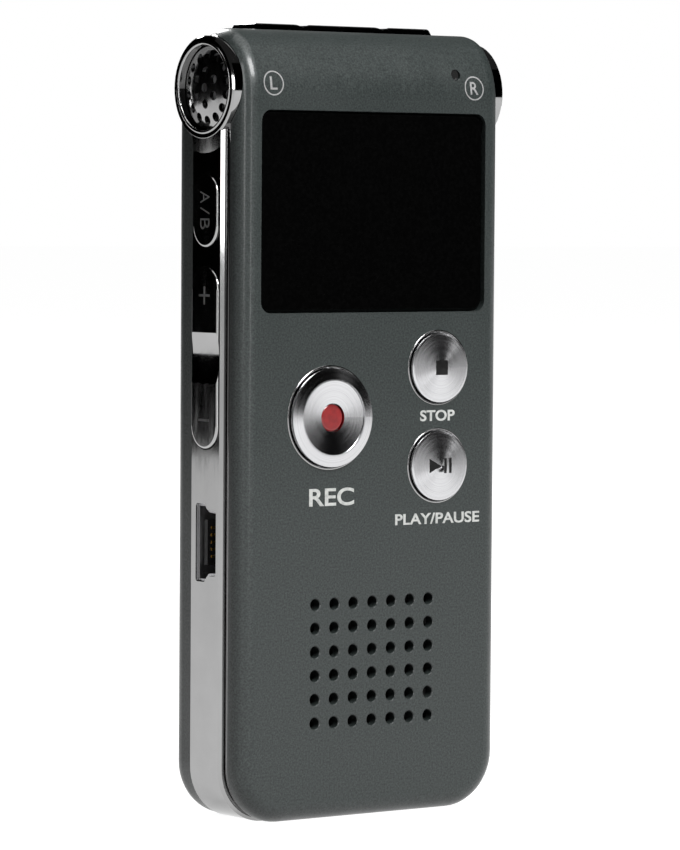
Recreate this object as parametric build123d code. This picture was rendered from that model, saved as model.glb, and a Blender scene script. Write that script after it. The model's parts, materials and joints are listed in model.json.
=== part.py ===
from build123d import *
import math
import os

# Slim pocket voice recorder, standing on its lower end. Millimetres.
# X is the width, Y the depth with the front face towards -Y, Z the height.
# The origin is the centre of the lower end: mid-width, mid-depth, z = 0.

# ---- case ---------------------------------------------------------------
CASE_WIDTH = 36.4
CASE_HEIGHT = 88.0
CASE_DEPTH = 13.2
CASE_CORNER = 6.3           # outline corners
EDGE_ROUND = 2.1            # rounded front and rear edges
CASE_WALL = 1.2
MID_HEIGHT = CASE_HEIGHT / 2
FRONT_Y = -CASE_DEPTH / 2
REAR_Y = CASE_DEPTH / 2
FRONT_INNER_Y = FRONT_Y + CASE_WALL
REAR_INNER_Y = REAR_Y - CASE_WALL
ROLL_START_Z = 80.5         # above this the front rolls back over the top
ROLL_LOW_RADIUS = 9.3       # in two tangent arcs, a wide one and a tight one
ROLL_TOP_RADIUS = 4.8
ROLL_TOP_Y = -0.9           # which meets the flat top here
ROLL_JOIN_ANGLE = 180 - math.degrees(math.atan(3 / 4))
SHELL_LIMIT = 30.0          # half-size of the blocks that divide the shell

# ---- metal band between the two covers ----------------------------------
BAND_FRONT_Y = -4.2         # bead against the front cover's rim
GROOVE_FRONT_Y = -3.65
GROOVE_REAR_Y = -3.5
BAND_REAR_Y = 2.45
BAND_MID_Y = (GROOVE_REAR_Y + BAND_REAR_Y) / 2
BEAD_INSET = 0.1
GROOVE_INSET = 0.65
BAND_PROUD = 0.55           # the main strip stands out past the covers' sides
BAND_CORNER = 6.1           # and meets them level on the lower end
BAND_CHAMFER = 0.33
BAND_X = CASE_WIDTH / 2 + BAND_PROUD
FRAME_INNER_INSET = 2.0
FRAME_INNER_X = CASE_WIDTH / 2 - FRAME_INNER_INSET
TONGUE_INSET = 1.3          # rib that lies inside both covers
TONGUE_FRONT_Y = -5.2
TONGUE_TOP_FRONT_Y = -2.5
TONGUE_REAR_Y = 5.0
TOP_STRIP_FRONT_Y = -0.5    # the band is sunk where it crosses the top
TOP_STRIP_REAR_Y = 3.9
TOP_STRIP_INSET = 0.35
PLATEAU_HALF = 12.9
PLATEAU_TOP_HALF = 12.1
PLATEAU_LOW_Z = 85.0
PLATEAU_SHOULDER_Z = 87.5
PLATEAU_TOP_Z = 88.7
PLATEAU_FRONT_Y = -0.4
PLATEAU_REAR_Y = 3.75

# ---- display ------------------------------------------------------------
WINDOW_WIDTH = 31.36
WINDOW_HEIGHT = 22.4
WINDOW_MID_Z = 67.8
WINDOW_CORNER = 1.3
WINDOW_SETBACK = 0.35
WINDOW_THICK = 0.8
WINDOW_GAP = 0.08
WINDOW_BEVEL = 0.3
LEDGE = 1.0
LEDGE_THICK = 0.55
LEDGE_RIM = 0.42
WINDOW_BACK_Y = FRONT_Y + WINDOW_SETBACK + WINDOW_THICK
LEDGE_BACK_Y = WINDOW_BACK_Y + LEDGE_THICK
GASKET_THICK = 0.25
LCD_WIDTH = 29.8
LCD_HEIGHT = 22.0
LCD_GLASS_THICK = 1.3
BACKLIGHT_THICK = 1.2

# ---- main board ---------------------------------------------------------
BOARD_FRONT_Y = -2.0
BOARD_THICK = 1.0
BOARD_REAR_Y = BOARD_FRONT_Y + BOARD_THICK
BOARD_WIDTH = 30.0
BOARD_LOW_Z = 29.0
BOARD_TOP_Z = 84.5
BOARD_CORNER = 3.0
BOARD_NOTCH_WIDTH = 18.8
BOARD_NOTCH_Z = 75.0
BOARD_USB_NOTCH = (-11.2, 35.7)     # corner left out for the USB socket: x and z limits
SCREW_SPOTS = ((13.4, 39.3), (-13.4, 39.3), (-12.4, 82.0))
SCREW_RADIUS = 0.6
SCREW_HEAD_RADIUS = 1.1
SCREW_HEAD_THICK = 0.6
SCREW_LENGTH = 3.2
LUG_THICK = 2.6

# ---- front keys: name, centre x, centre z, cap radius --------------------
KEY_PROUD = 0.9
KEY_TRAVEL = 0.3
KEY_GAP = 0.12
BEZEL_WALL = 0.22
BEZEL_DEPTH = 0.7
BEZEL_PROUD = 0.06
KEY_FLANGE = 0.5
KEY_FLANGE_THICK = 0.4
KEY_STEM_RADIUS = 1.6
FRONT_KEYS = {
    "rec": (-6.15, 44.96, 5.5),
    "stop": (9.05, 50.3, 3.93),
    "play_pause": (9.05, 39.2, 3.93),
}
REC_DISH_RADIUS = 4.3
REC_DISH_DEPTH = 0.45
REC_BEVEL_DROP = 0.3
REC_DOT_RADIUS = 1.55
REC_DOT_SUNK = 0.5
KEY_BROKEN_EDGE = 0.25
KEY_CROWN = 0.35            # cone height of the two small keys
KEY_RELIEF = 0.04           # their tops are this much below the record key's rim
TACT_WIDTH = 4.2
TACT_THICK = 0.9
TACT_BUTTON_RADIUS = 1.0
TACT_BUTTON_THICK = 0.4

# ---- side keys ----------------------------------------------------------
SIDE_GAP = 0.13
SIDE_PROUD = 0.25
PILL_LENGTH = 8.3
PILL_WIDTH = 4.85
PILL_Z = 67.85
SIDE_TRAVEL = 0.25
ROCKER_LENGTH = 20.4
ROCKER_WIDTH = 5.25
ROCKER_Z = 51.6
ROCKER_PROUD = 0.27
ROCKER_DIP = 0.3
ROCKER_DIP_HALF = 2.8
ROCKER_INNER_X = 16.6
ROCKER_FOOT_OFFSET = 7.5
ROCKER_PIN_X = 15.9
ROCKER_PIN_RADIUS = 0.46
ROCKER_PIN_CLEARANCE = 0.04
ROCKER_HUB_WIDTH = 3.2
ROCKER_HUB_HALF = 1.4
EAR_THICK = 0.7
EAR_GAP = 0.15
EAR_FOOT = 1.0
SIDE_STEM_X = 15.5
SIDE_SWITCH_FACE_X = 14.9
SIDE_SWITCH_PLUNGER = 0.3
SIDE_PLUNGER_HALF = 0.4
SIDE_SWITCH_DEPTH = 3.0
SIDE_SWITCH_LENGTH = 4.7

# ---- power slide switch -------------------------------------------------
SLIDER_SLOT = (8.2, 3.3)
SLIDER_SLOT_Z = 30.95
SLIDER_KNOB = (5.4, 3.0)
SLIDER_KNOB_Z = 29.75
SLIDER_PLATE = (11.1, 4.6)
SLIDER_PROUD = 0.5
SLIDER_RIBS = 5
SLIDER_RIB_PITCH = 0.85

# ---- microphones --------------------------------------------------------
POD_Z = 81.4
POD_BARREL_RADIUS = 5.75
POD_NOTCH_RADIUS = 5.8
POD_INNER_X = 15.3
POD_FACE_X = 18.95
POD_FAIRING_RADIUS = 7.2
POD_RING_RADIUS = 5.13
POD_RING_SEAT_X = 17.5
POD_RING_X = 19.05
POD_BORE_RADIUS = 4.7
GRILLE_RADIUS = 4.58
GRILLE_BASE_X = 17.2
GRILLE_EDGE_X = 18.05
GRILLE_TOP_X = 18.8
GRILLE_WALL = 0.4
GRILLE_HOLE_RADIUS = 0.52
GRILLE_ROWS = ((0.0, 1), (1.8, 6), (3.6, 14))
MIC_RADIUS = 3.0
MIC_BACK_X = 15.4
MIC_FRONT_X = 17.0

# ---- USB socket, jacks --------------------------------------------------
USB_Z = 31.1
USB_OUTLINE = ((1.25, 4.35), (-0.45, 4.35), (-0.9, 3.7), (-2.6, 3.6))
USB_RIM_SETBACK = 0.35
USB_DEPTH = 7.0
USB_WALL = 0.3
USB_TONGUE_WIDTH = 5.0
USB_TONGUE_Y = (0.1, 0.7)
USB_TONGUE_SETBACK = 0.45
USB_CONTACTS = 5
USB_CONTACT_PITCH = 0.8
JACK_X = 5.6
JACK_Y = 1.65
JACK_BODY = (6.2, 4.7)
JACK_LOW_Z = 75.2
JACK_BODY_TOP_Z = 83.2
JACK_NOSE_RADIUS = 2.05
JACK_NOSE_TOP_Z = 88.5
JACK_BORE_RADIUS = 1.8
JACK_BORE_LENGTH = 12.0

# ---- speaker ------------------------------------------------------------
SPEAKER_Z = 17.5
SPEAKER_RADIUS = 9.8
SPEAKER_RIM = 1.2
SPEAKER_COLUMNS = 7
SPEAKER_ROWS = 6
SPEAKER_PITCH = 2.652
SPEAKER_HOLE_RADIUS = 0.65
SPEAKER_HOLE_CHAMFER = 0.1
SPEAKER_GASKET_THICK = 0.3
SPEAKER_FRAME_THICK = 2.7
SPEAKER_MAGNET_RADIUS = 5.6
SPEAKER_MAGNET_THICK = 1.8

# ---- battery, indicator -------------------------------------------------
BATTERY_SIZE = (19.4, 4.0, 37.0)
BATTERY_FRONT_Y = 0.9
BATTERY_MID_Z = 54.0
LED_X = 11.65
LED_Z = 83.35
LED_HOLE_RADIUS = 0.65
LED_PIPE_RADIUS = 0.6
LED_PIPE_SETBACK = 0.75      # behind the flat of the front, which has rolled back here


# ---- shape helpers ------------------------------------------------------
def slab(width, height, corner, y_front, y_rear, x=0.0, z=0.0):
    """Rounded upright plate between two depths."""
    outline = Pos(x, z) * RectangleRounded(width, height, corner)
    return extrude(Plane.XZ.offset(-y_rear) * outline, y_rear - y_front)


def case_outline(inset):
    """Front view of the case: round lower corners and square upper ones."""
    width = CASE_WIDTH - 2 * inset
    height = CASE_HEIGHT - 2 * inset
    outline = Pos(0, MID_HEIGHT) * Rectangle(width, height)
    return fillet(outline.vertices().group_by(Axis.Y)[0], CASE_CORNER - inset)


def case_profile(inset):
    """Side view of the case: flat front and rear faces, rolled over at the top."""
    front = FRONT_Y + inset
    rear = REAR_Y - inset
    top = CASE_HEIGHT - inset
    sides = Polyline((front, ROLL_START_Z), (front, inset), (rear, inset), (rear, POD_Z))
    low_roll = CenterArc((FRONT_Y + ROLL_LOW_RADIUS, ROLL_START_Z), ROLL_LOW_RADIUS - inset,
                         ROLL_JOIN_ANGLE, 180 - ROLL_JOIN_ANGLE)
    top_roll = CenterArc((ROLL_TOP_Y, CASE_HEIGHT - ROLL_TOP_RADIUS), ROLL_TOP_RADIUS - inset,
                         90, ROLL_JOIN_ANGLE - 90)
    flat = Line((ROLL_TOP_Y, top), (0, top))
    rear_roll = CenterArc((0, POD_Z), rear, 0, 90)
    return make_face(sides + low_roll + top_roll + flat + rear_roll)


def case_body(inset):
    """Solid of the case's outside pulled in by an inset."""
    body = extrude(Plane.XZ * case_outline(inset), CASE_DEPTH, both=True)
    body &= extrude(Plane.YZ * case_profile(inset), CASE_WIDTH, both=True)
    if EDGE_ROUND - inset < EDGE_ROUND / 4:
        return body
    corner_seams = [edge for edge in body.edges().filter_by(Axis.Y)
                    if edge.center().Z < MID_HEIGHT]
    roll_seams = [edge for edge in body.edges().filter_by(Axis.X)
                  if edge.center().Z > MID_HEIGHT]
    rim = [edge for edge in body.edges() if edge not in corner_seams + roll_seams]
    return fillet(rim, EDGE_ROUND - inset)


def case_slab(inset, y_front, y_rear):
    """Slice of the case's lower part, up to the middle of the microphone barrels."""
    slice_ = extrude(Plane.XZ.offset(-y_rear) * case_outline(inset), y_rear - y_front)
    return slice_ & block((-SHELL_LIMIT, SHELL_LIMIT), (y_front, y_rear), (-1, POD_Z))


def band_strip():
    """Main strip of the band: proud of the sides, level with the lower end."""
    outline = Pos(0, MID_HEIGHT) * Rectangle(2 * BAND_X, CASE_HEIGHT)
    outline = fillet(outline.vertices().group_by(Axis.Y)[0], BAND_CORNER)
    strip = extrude(Plane.XZ.offset(-BAND_REAR_Y) * outline, BAND_REAR_Y - GROOVE_REAR_Y)
    strip &= block((-SHELL_LIMIT, SHELL_LIMIT), (GROOVE_REAR_Y, BAND_REAR_Y), (-1, POD_Z))
    return chamfer(strip.faces().filter_by(Axis.Y).edges(), BAND_CHAMFER)


def depth_zone(lower_y, upper_y):
    """Two stacked blocks: one pair of depths below the barrels' middle, one above."""
    width = (-SHELL_LIMIT, SHELL_LIMIT)
    return block(width, lower_y, (-1, POD_Z)) + block(width, upper_y, (POD_Z, CASE_HEIGHT))


def disc(radius, y_front, y_rear, x, z):
    """Round plate facing the front."""
    return extrude(Plane.XZ.offset(-y_rear) * Pos(x, z) * Circle(radius), y_rear - y_front)


def block(x_range, y_range, z_range):
    """Plain block between three pairs of limits."""
    size = [high - low for low, high in (x_range, y_range, z_range)]
    middle = [(high + low) / 2 for low, high in (x_range, y_range, z_range)]
    return Pos(*middle) * Box(*size)


def side_disc(radius, x_low, x_high, y, z):
    """Round plate facing sideways."""
    return extrude(Plane.YZ.offset(x_low) * Pos(y, z) * Circle(radius), x_high - x_low)


def side_pill(length, width, x_low, x_high, z):
    """Upright pill facing sideways, centred on the band."""
    outline = Pos(BAND_MID_Y, z) * SlotOverall(length, width, rotation=90)
    return extrude(Plane.YZ.offset(x_low) * outline, x_high - x_low)


def side_block(x_low, x_high, y_range, z_range):
    """Block whose x limits are given as a distance out from the middle."""
    return block((x_low, x_high), y_range, z_range)


def on_side(shape, side):
    """Shapes are made on the right; side -1 mirrors them to the left."""
    return shape if side > 0 else mirror(shape, Plane.YZ)


# ---- case parts ---------------------------------------------------------
def pod_clearance():
    """Round notches for the microphone barrels, left and right."""
    notch = side_disc(POD_NOTCH_RADIUS, POD_INNER_X - 0.1, CASE_WIDTH, 0, POD_Z)
    return notch + mirror(notch, Plane.YZ)


def speaker_hole_spots():
    """Centres of the speaker holes, as (x, z)."""
    columns = [(i - (SPEAKER_COLUMNS - 1) / 2) * SPEAKER_PITCH for i in range(SPEAKER_COLUMNS)]
    rows = [(i - (SPEAKER_ROWS - 1) / 2) * SPEAKER_PITCH for i in range(SPEAKER_ROWS)]
    return [(x, SPEAKER_Z + z) for x in columns for z in rows]


def front_cover():
    cover = case_body(0) - case_body(CASE_WALL)
    cover &= depth_zone((FRONT_Y, BAND_FRONT_Y), (FRONT_Y, TOP_STRIP_FRONT_Y))
    cover += slab(WINDOW_WIDTH + 2 * LEDGE_RIM, WINDOW_HEIGHT + 2 * LEDGE_RIM, WINDOW_CORNER,
                  FRONT_INNER_Y - 0.2, LEDGE_BACK_Y, 0, WINDOW_MID_Z)
    cover -= slab(WINDOW_WIDTH, WINDOW_HEIGHT, WINDOW_CORNER,
                  FRONT_Y - 1, WINDOW_BACK_Y, 0, WINDOW_MID_Z)
    cover -= slab(WINDOW_WIDTH - 2 * LEDGE, WINDOW_HEIGHT - 2 * LEDGE, WINDOW_CORNER / 2,
                  FRONT_Y - 1, 0, 0, WINDOW_MID_Z)
    for x, z, radius in FRONT_KEYS.values():
        hole = radius + KEY_GAP
        cover -= disc(hole + BEZEL_WALL, FRONT_Y - 1, FRONT_Y + BEZEL_DEPTH, x, z)
        cover -= disc(hole + 0.03, FRONT_Y, 0, x, z)
    cover -= disc(LED_HOLE_RADIUS, FRONT_Y - 1, 0, LED_X, LED_Z)
    spots = speaker_hole_spots()
    cover -= [disc(SPEAKER_HOLE_RADIUS, FRONT_Y - 1, 0, x, z) for x, z in spots]
    mouths = [edge for edge in cover.edges().filter_by(GeomType.CIRCLE)
              if abs(edge.radius - SPEAKER_HOLE_RADIUS) < 1e-3
              and abs(edge.center().Y - FRONT_Y) < 0.01 and edge.center().Z < MID_HEIGHT]
    cover = chamfer(mouths, SPEAKER_HOLE_CHAMFER)
    return cover - pod_clearance()


def rear_cover():
    cover = case_body(0) - case_body(CASE_WALL)
    cover &= depth_zone((BAND_REAR_Y, REAR_Y), (TOP_STRIP_REAR_Y, REAR_Y))
    return cover - pod_clearance()


def plateau():
    """Raised land with sloped ends where the band crosses the top."""
    outline = Polyline((-PLATEAU_HALF, PLATEAU_LOW_Z), (PLATEAU_HALF, PLATEAU_LOW_Z),
                       (PLATEAU_HALF, PLATEAU_SHOULDER_Z), (PLATEAU_TOP_HALF, PLATEAU_TOP_Z),
                       (-PLATEAU_TOP_HALF, PLATEAU_TOP_Z), (-PLATEAU_HALF, PLATEAU_SHOULDER_Z),
                       close=True)
    land = extrude(Plane.XZ.offset(-PLATEAU_REAR_Y) * make_face(outline),
                   PLATEAU_REAR_Y - PLATEAU_FRONT_Y)
    return fillet(land.faces().sort_by(Axis.Z)[-1].edges(), 0.3)


def pod_barrel():
    """Microphone barrel on the right end of the band's top corner, with its fairing."""
    barrel = side_disc(POD_BARREL_RADIUS, POD_INNER_X, POD_FACE_X, 0, POD_Z)
    barrel = chamfer(barrel.edges().sort_by(Axis.X)[-1], 0.2)
    flare = POD_FACE_X - BAND_X
    cone = Cone(POD_FAIRING_RADIUS, POD_RING_RADIUS, flare, rotation=(0, 90, 0))
    fairing = Pos(BAND_X + flare / 2, 0, POD_Z) * cone
    flat = (GROOVE_REAR_Y + BAND_CHAMFER, BAND_REAR_Y - BAND_CHAMFER)
    strip = block((0, CASE_WIDTH), flat, (POD_Z - 2 * POD_FAIRING_RADIUS, POD_Z))
    return barrel + (fairing & strip)


def rocker_ears():
    """Two ears beside the rocker's slot in the right wall, holding its pin."""
    ears = []
    for direction in (-1, 1):
        near = BAND_MID_Y + direction * (ROCKER_HUB_WIDTH / 2 + EAR_GAP)
        far = near + direction * (EAR_THICK + EAR_FOOT)
        ear = block((POD_INNER_X, FRAME_INNER_X + 0.1), sorted((near, far)),
                    (ROCKER_Z - ROCKER_HUB_HALF, ROCKER_Z + ROCKER_HUB_HALF))
        ears.append(ear - rocker_pin())
    return ears


def board_lugs():
    """Three lugs behind the board that its screws go into."""
    y_range = (BOARD_REAR_Y, BOARD_REAR_Y + LUG_THICK)
    lugs = []
    for x, z in SCREW_SPOTS[:2]:
        reach = math.copysign(FRAME_INNER_X + 0.1, x)
        near = x - math.copysign(SCREW_HEAD_RADIUS + 0.3, x)
        lugs.append(block(sorted((near, reach)), y_range, (z - 1.1, z + 1.1)))
    x, z = SCREW_SPOTS[2]
    top = CASE_HEIGHT - FRAME_INNER_INSET + 0.1
    lugs.append(block((x - 1.2, x + 1.2), y_range, (z - 1.2, top)))
    return lugs


def usb_outline(grow):
    """Socket outline: wide towards the rear, stepping in towards the front."""
    right = [(y, USB_Z + half) for y, half in USB_OUTLINE]
    left = [(y, USB_Z - half) for y, half in reversed(USB_OUTLINE)]
    face = make_face(Polyline(*right, *left, close=True))
    face = fillet(face.vertices(), 0.35)
    return offset(face, grow) if grow else face


def mid_frame():
    frame = band_strip()
    frame += case_slab(GROOVE_INSET, GROOVE_FRONT_Y, GROOVE_REAR_Y)
    bead = case_slab(BEAD_INSET, BAND_FRONT_Y, GROOVE_FRONT_Y)
    frame += chamfer(bead.faces().sort_by(Axis.Y)[-1].edges(), 0.1)
    top_strip = (TOP_STRIP_FRONT_Y, TOP_STRIP_REAR_Y)
    frame += case_body(TOP_STRIP_INSET) & block((-SHELL_LIMIT, SHELL_LIMIT), top_strip,
                                                (POD_Z, CASE_HEIGHT))
    frame += case_body(TONGUE_INSET) & depth_zone((TONGUE_FRONT_Y, TONGUE_REAR_Y),
                                                  (TONGUE_TOP_FRONT_Y, TONGUE_REAR_Y))
    frame += plateau()
    frame -= case_body(FRAME_INNER_INSET)
    frame -= case_slab(FRAME_INNER_INSET, -SHELL_LIMIT, SHELL_LIMIT)
    barrels = pod_barrel() + mirror(pod_barrel(), Plane.YZ)
    frame += barrels
    for side in (-1, 1):
        frame -= on_side(side_disc(POD_BORE_RADIUS, 0, CASE_WIDTH, 0, POD_Z)
                         & block((POD_INNER_X - 1, CASE_WIDTH), (-9, 9), (70, 90)), side)
        frame -= on_side(side_disc(POD_RING_RADIUS, POD_RING_SEAT_X, CASE_WIDTH, 0, POD_Z), side)
        frame -= on_side(side_pill(PILL_LENGTH, PILL_WIDTH, 15, 20, PILL_Z), side)
        frame -= on_side(side_pill(ROCKER_LENGTH, ROCKER_WIDTH, 15, 20, ROCKER_Z), side)
        for ear in rocker_ears():
            frame += on_side(ear, side)
    for lug in board_lugs():
        frame += lug
    for x, z in SCREW_SPOTS:
        frame -= disc(SCREW_RADIUS, BOARD_REAR_Y - 1, BOARD_FRONT_Y + SCREW_LENGTH, x, z)
    frame -= extrude(Plane.YZ.offset(-20) * usb_outline(0), 5)
    slot_y = (BAND_MID_Y - SLIDER_SLOT[1] / 2, BAND_MID_Y + SLIDER_SLOT[1] / 2)
    slot_z = (SLIDER_SLOT_Z - SLIDER_SLOT[0] / 2, SLIDER_SLOT_Z + SLIDER_SLOT[0] / 2)
    frame -= block((15, 20), slot_y, slot_z)
    for side in (-1, 1):
        frame -= Pos(side * JACK_X, JACK_Y, CASE_HEIGHT) * Cylinder(JACK_NOSE_RADIUS, 12)
    return frame


# ---- display parts ------------------------------------------------------
def display_window():
    lens = slab(WINDOW_WIDTH - 2 * WINDOW_GAP, WINDOW_HEIGHT - 2 * WINDOW_GAP,
                WINDOW_CORNER - WINDOW_GAP, FRONT_Y + WINDOW_SETBACK, WINDOW_BACK_Y,
                0, WINDOW_MID_Z)
    return chamfer(lens.faces().sort_by(Axis.Y)[0].edges(), WINDOW_BEVEL)


def window_gasket():
    rear = LEDGE_BACK_Y + GASKET_THICK
    ring = slab(LCD_WIDTH, LCD_HEIGHT, WINDOW_CORNER, LEDGE_BACK_Y, rear, 0, WINDOW_MID_Z)
    return ring - slab(LCD_WIDTH - 2.2, LCD_HEIGHT - 2.2, 0.4,
                       LEDGE_BACK_Y, rear, 0, WINDOW_MID_Z)


def lcd_glass():
    front = LEDGE_BACK_Y + GASKET_THICK
    return slab(LCD_WIDTH, LCD_HEIGHT, 0.3, front, front + LCD_GLASS_THICK, 0, WINDOW_MID_Z)


def lcd_backlight():
    front = LEDGE_BACK_Y + GASKET_THICK + LCD_GLASS_THICK
    return slab(LCD_WIDTH - 0.6, LCD_HEIGHT - 0.6, 0.8, front, BOARD_FRONT_Y, 0, WINDOW_MID_Z)


def lcd_flex():
    """Flat ribbon from the glass down to the board."""
    front = LEDGE_BACK_Y + GASKET_THICK + LCD_GLASS_THICK / 2
    low = WINDOW_MID_Z - LCD_HEIGHT / 2
    down = block((-4, 4), (front, front + 0.15), (low - 0.9, low))
    back = block((-4, 4), (front, BOARD_FRONT_Y), (low - 1.05, low - 0.9))
    return down + back


# ---- board parts --------------------------------------------------------
def main_board():
    middle = (BOARD_LOW_Z + BOARD_TOP_Z) / 2
    board = slab(BOARD_WIDTH, BOARD_TOP_Z - BOARD_LOW_Z, BOARD_CORNER,
                 BOARD_FRONT_Y, BOARD_REAR_Y, 0, middle)
    board -= block((-BOARD_NOTCH_WIDTH / 2, BOARD_NOTCH_WIDTH / 2), (-9, 9),
                   (BOARD_NOTCH_Z, CASE_HEIGHT))
    notch_x, notch_z = BOARD_USB_NOTCH
    board -= block((-BOARD_WIDTH, notch_x), (BOARD_FRONT_Y, BOARD_REAR_Y), (0, notch_z))
    for x, z in SCREW_SPOTS:
        board -= disc(SCREW_RADIUS + 0.1, BOARD_FRONT_Y, BOARD_REAR_Y, x, z)
    return board


def chip(width, height, thick, x, z):
    package = slab(width, height, 0.2, BOARD_REAR_Y, BOARD_REAR_Y + thick, x, z)
    return chamfer(package.faces().sort_by(Axis.Y)[-1].edges(), 0.15)


def board_screw(x, z):
    head = disc(SCREW_HEAD_RADIUS, BOARD_FRONT_Y - SCREW_HEAD_THICK, BOARD_FRONT_Y, x, z)
    head = fillet(head.edges().sort_by(Axis.Y)[0], 0.25)
    shank = disc(SCREW_RADIUS, BOARD_FRONT_Y, BOARD_FRONT_Y + SCREW_LENGTH, x, z)
    cross = block((x - 0.7, x + 0.7), (BOARD_FRONT_Y - 1, BOARD_FRONT_Y - 0.3), (z - 0.14, z + 0.14))
    upright = block((x - 0.14, x + 0.14), (BOARD_FRONT_Y - 1, BOARD_FRONT_Y - 0.3), (z - 0.7, z + 0.7))
    return head + shank - cross - upright


# ---- front keys ---------------------------------------------------------
def key_blank(x, z, radius):
    """Cap, retaining flange and stem of a front key."""
    flange_y = FRONT_INNER_Y + 0.05
    cap = disc(radius, FRONT_Y - KEY_PROUD, flange_y, x, z)
    flange = disc(radius + KEY_FLANGE, flange_y, flange_y + KEY_FLANGE_THICK, x, z)
    stem_end = BOARD_FRONT_Y - TACT_THICK - TACT_BUTTON_THICK - KEY_TRAVEL - 0.05
    return cap + flange + disc(KEY_STEM_RADIUS, flange_y, stem_end, x, z)


def turned(profile, x, z):
    """Solid turned about a front key's axis from (radius, y) points."""
    face = make_face(Polyline(*[(radius, 0, y) for radius, y in profile], close=True))
    solid = revolve(face, Axis.Z)
    return Pos(x, 0, z) * Rot(90, 0, 0) * solid


def front_profile(points):
    """Profile heights are measured outwards from the case front."""
    return [(radius, -(FRONT_Y - height)) for radius, height in points]


def rec_button():
    x, z, radius = FRONT_KEYS["rec"]
    key = key_blank(x, z, radius)
    top = KEY_PROUD
    bevel = front_profile([(REC_DISH_RADIUS, top + 1), (radius + 1, top + 1),
                           (radius + 1, top - REC_BEVEL_DROP * 1.83),
                           (REC_DISH_RADIUS, top)])
    dish = front_profile([(0, top + 1), (REC_DISH_RADIUS - 0.15, top + 1),
                          (REC_DISH_RADIUS - 0.15, top - 0.12), (0, top - REC_DISH_DEPTH)])
    key -= turned(bevel, x, z)
    key -= turned(dish, x, z)
    return key - disc(REC_DOT_RADIUS + 0.06, FRONT_Y - 2, FRONT_Y + 0.3, x, z)


def rec_button_dot():
    x, z, _ = FRONT_KEYS["rec"]
    face_y = FRONT_Y - KEY_PROUD + REC_DOT_SUNK
    dot = disc(REC_DOT_RADIUS, face_y, FRONT_Y + 0.3, x, z)
    return fillet(dot.edges().sort_by(Axis.Y)[0], 0.25)


def small_button(name):
    """Key with a low cone turned on its face and a broken outer edge."""
    x, z, radius = FRONT_KEYS[name]
    key = key_blank(x, z, radius)
    top = KEY_PROUD - KEY_RELIEF
    low = top - KEY_CROWN
    rim = radius - KEY_BROKEN_EDGE
    waste = front_profile([(0, top), (0, KEY_PROUD + 1), (radius + 1, KEY_PROUD + 1),
                           (radius + 1, low - 0.3), (rim, low)])
    return key - turned(waste, x, z)


def key_bezel(name):
    x, z, radius = FRONT_KEYS[name]
    inner = radius + KEY_GAP
    ring = disc(inner + BEZEL_WALL, FRONT_Y - BEZEL_PROUD, FRONT_Y + BEZEL_DEPTH, x, z)
    ring -= disc(inner, FRONT_Y - 1, 0, x, z)
    return fillet(ring.edges().group_by(Axis.Y)[0], 0.08)


def tact_switch(name):
    x, z, _ = FRONT_KEYS[name]
    front = BOARD_FRONT_Y - TACT_THICK
    body = slab(TACT_WIDTH, TACT_WIDTH, 0.4, front, BOARD_FRONT_Y, x, z)
    return body + disc(TACT_BUTTON_RADIUS, front - TACT_BUTTON_THICK, front, x, z)


# ---- side keys, made on the right ---------------------------------------
def pill_button():
    length = PILL_LENGTH - 2 * SIDE_GAP
    width = PILL_WIDTH - 2 * SIDE_GAP
    inner = FRAME_INNER_X - 0.05
    cap = side_pill(length, width, inner, BAND_X + SIDE_PROUD, PILL_Z)
    cap = fillet(cap.faces().sort_by(Axis.X)[-1].edges(), 0.22)
    flange = side_pill(PILL_LENGTH + 0.8, PILL_WIDTH + 0.5, inner - 0.4, inner, PILL_Z)
    stem = block((SIDE_STEM_X, inner), (BAND_MID_Y - 0.9, BAND_MID_Y + 0.9),
                 (PILL_Z - 1.2, PILL_Z + 1.2))
    return cap + flange + stem


def rocker_pin():
    length = ROCKER_HUB_WIDTH + 2 * (EAR_GAP + EAR_THICK)
    pin = Cylinder(ROCKER_PIN_RADIUS, length, rotation=(90, 0, 0))
    return Pos(ROCKER_PIN_X, BAND_MID_Y, ROCKER_Z) * pin


def rocker():
    """Long rocking key with a dip in its middle, a hub and two feet."""
    outer = BAND_X + ROCKER_PROUD
    cap = side_pill(ROCKER_LENGTH - 2 * SIDE_GAP, ROCKER_WIDTH - 2 * SIDE_GAP,
                    ROCKER_INNER_X, outer, ROCKER_Z)
    cap = fillet(cap.faces().sort_by(Axis.X)[-1].edges(), 0.25)
    dip_radius = (ROCKER_DIP_HALF ** 2 + ROCKER_DIP ** 2) / (2 * ROCKER_DIP)
    dip = Cylinder(dip_radius, 2 * ROCKER_WIDTH, rotation=(90, 0, 0))
    cap -= Pos(outer - ROCKER_DIP + dip_radius, BAND_MID_Y, ROCKER_Z) * dip
    hub_y = (BAND_MID_Y - ROCKER_HUB_WIDTH / 2, BAND_MID_Y + ROCKER_HUB_WIDTH / 2)
    hub = block((POD_INNER_X, ROCKER_INNER_X), hub_y, (ROCKER_Z - 1.1, ROCKER_Z + 1.1))
    bore = Cylinder(ROCKER_PIN_RADIUS + ROCKER_PIN_CLEARANCE, 2 * ROCKER_WIDTH,
                    rotation=(90, 0, 0))
    key = cap + hub - Pos(ROCKER_PIN_X, BAND_MID_Y, ROCKER_Z) * bore
    for direction in (-1, 1):
        middle = ROCKER_Z + direction * ROCKER_FOOT_OFFSET
        key += block((SIDE_STEM_X, ROCKER_INNER_X), (BAND_MID_Y - 0.9, BAND_MID_Y + 0.9),
                     (middle - 0.8, middle + 0.8))
    return key


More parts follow.
